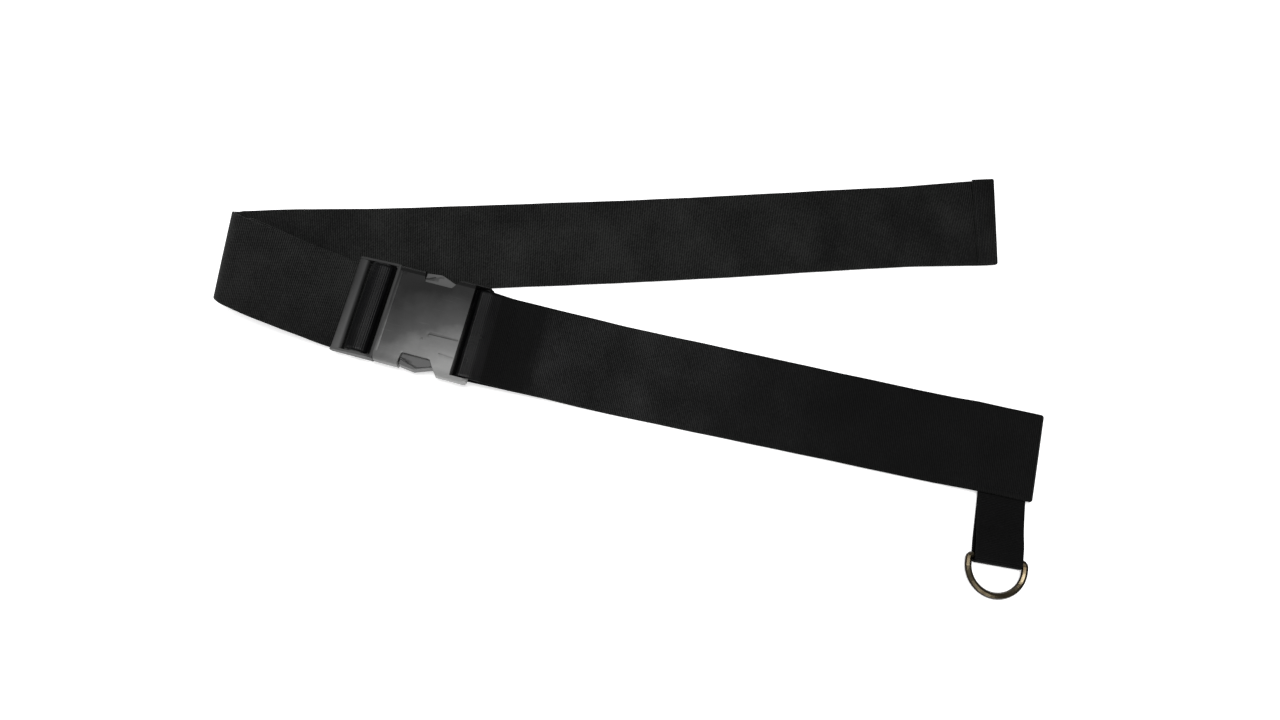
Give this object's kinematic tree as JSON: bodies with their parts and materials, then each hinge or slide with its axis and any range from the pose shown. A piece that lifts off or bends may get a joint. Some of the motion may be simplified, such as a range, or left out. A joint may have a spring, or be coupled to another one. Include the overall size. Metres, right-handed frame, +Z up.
{
  "type": "gait belt",
  "caption": "Walking transfer belt: a flat loop of wide webbing with a side-release buckle, a ladder adjuster, a hemmed free tail and a D-ring on a sewn tab.",
  "frame": {"origin": "centre of the bounding box in plan, on the surface that the belt lies on", "axes": "+X along the buckle from its male half to its female half, +Y towards the free tail, +Z up from the surface"},
  "size_m": [0.462, 0.239, 0.0225],
  "materials": {
    "webbing": "black woven webbing",
    "tab_webbing": "black woven webbing, narrower",
    "buckle": "dark grey satin moulded",
    "prong": "grey satin moulded",
    "ring": "warm nickel plate",
    "thread": "black sewing thread"
  },
  "bodies": {
    "male_half": {"buckle_male_frame": "buckle", "webbing_back": "webbing", "webbing_tail": "webbing", "seam_hem": "thread"},
    "female_half": {"buckle_female_body": "buckle", "webbing_front": "webbing", "d_ring_tab": "tab_webbing", "seam_loop_far": "thread", "seam_loop_near": "thread", "seam_tab_belt": "thread", "seam_tab_edge": "thread"},
    "prong_upper": {"buckle_prong_upper": "prong"},
    "prong_lower": {"buckle_prong_lower": "prong"},
    "ring": {"d_ring": "ring"}
  },
  "joints": [
    {"name": "buckle_release", "type": "slide", "parent": "male_half", "child": "female_half", "axis": [1, 0, 0], "range_m": [0, 0.045]},
    {"name": "prong_upper_squeeze", "type": "hinge", "parent": "male_half", "child": "prong_upper", "pos_m": [-0.13192, -0.03494, 0.0114], "axis": [0, 0, -1], "range_deg": [0, 7], "stiffness_Nm_per_rad": 1, "deforming": ["buckle_prong_upper"]},
    {"name": "prong_lower_squeeze", "type": "hinge", "parent": "male_half", "child": "prong_lower", "pos_m": [-0.13192, -0.07094, 0.0114], "axis": [0, 0, 1], "range_deg": [0, 7], "stiffness_Nm_per_rad": 1, "deforming": ["buckle_prong_lower"]},
    {"name": "d_ring_swing", "type": "hinge", "parent": "female_half", "child": "ring", "pos_m": [0.21338, -0.09824, 0.00335], "axis": [-0.9971, -0.0758, 0], "range_deg": [-120, 150]}
  ]
}
